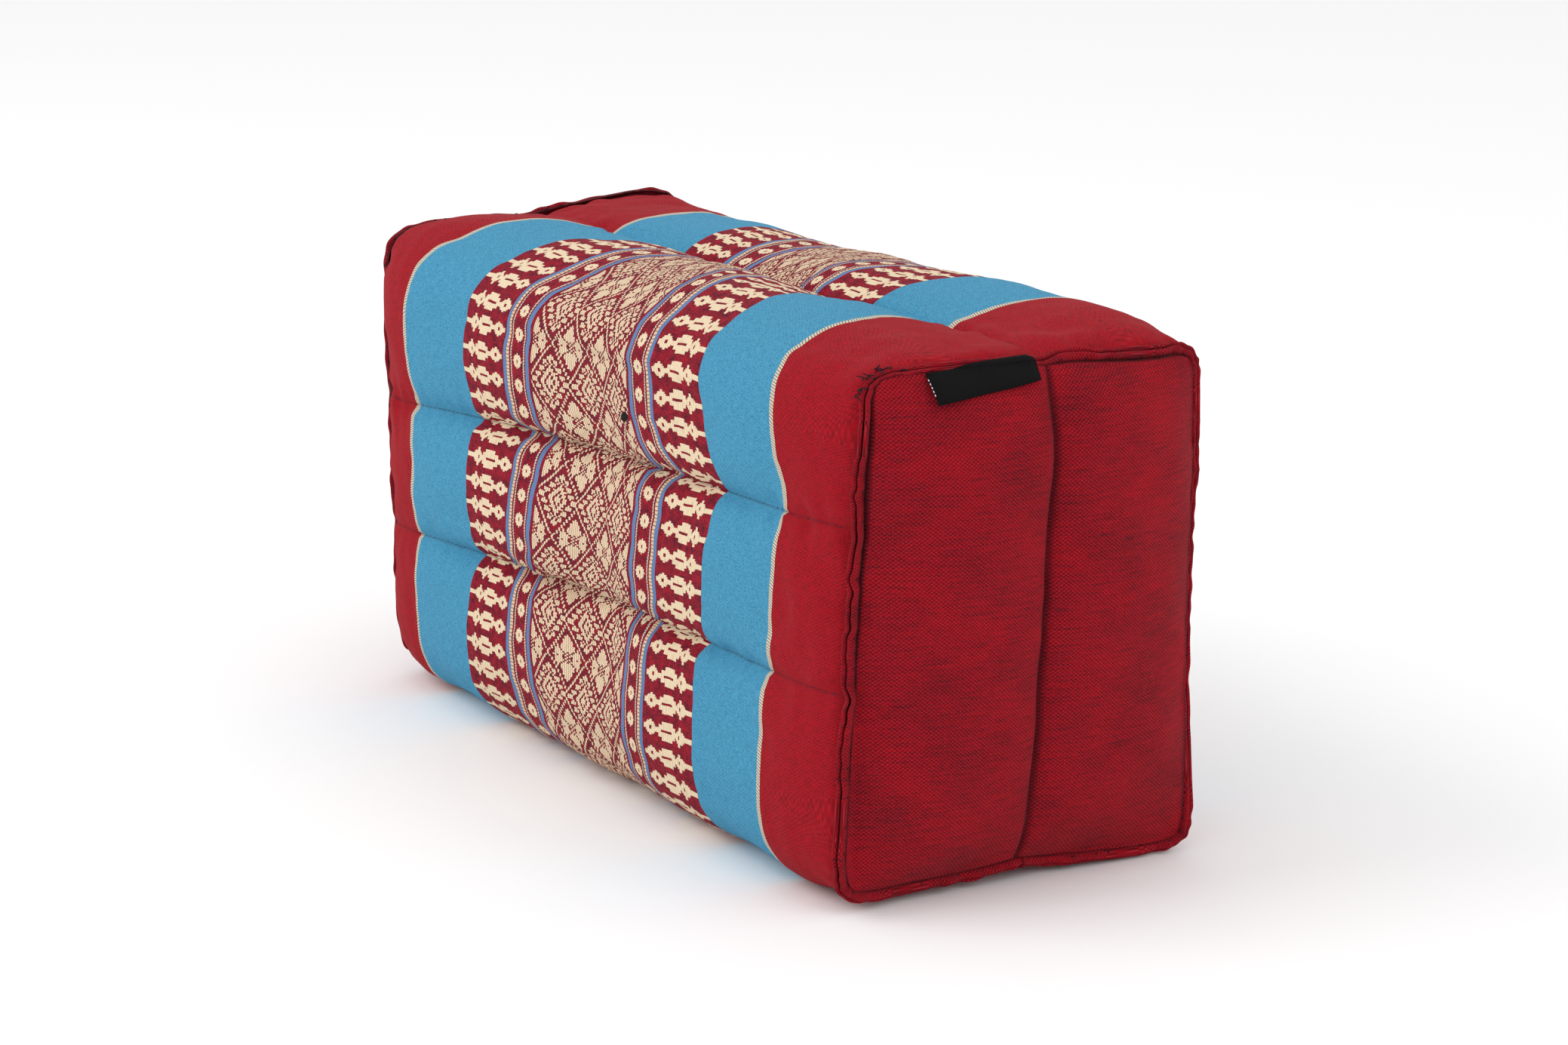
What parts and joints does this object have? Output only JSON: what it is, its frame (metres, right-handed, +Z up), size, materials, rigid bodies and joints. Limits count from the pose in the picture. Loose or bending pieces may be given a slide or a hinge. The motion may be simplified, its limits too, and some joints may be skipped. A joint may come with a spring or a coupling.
{
  "type": "meditation cushion",
  "caption": "Firm rectangular stuffed floor cushion with sewn channels along its length, standing on its long narrow side, with plain end panels and a bare side tag.",
  "frame": {"origin": "middle of the foot of the cushion, on the floor", "axes": "+X along the length towards the end with the tag, +Y across to the back, +Z up"},
  "size_m": [0.3614, 0.1482, 0.1764],
  "materials": {
    "patterned_wrap": "matt woven cotton with red, blue and cream stripes and a supplementary cream pattern",
    "red_end_cloth": "matt plain-woven cotton, red shot with dark threads",
    "black_tape": "matt woven tape"
  },
  "bodies": {
    "root": {"cushion_body": "patterned_wrap", "end_panel_near": "red_end_cloth", "end_panel_far": "red_end_cloth", "label_tag": "black_tape"}
  },
  "joints": []
}
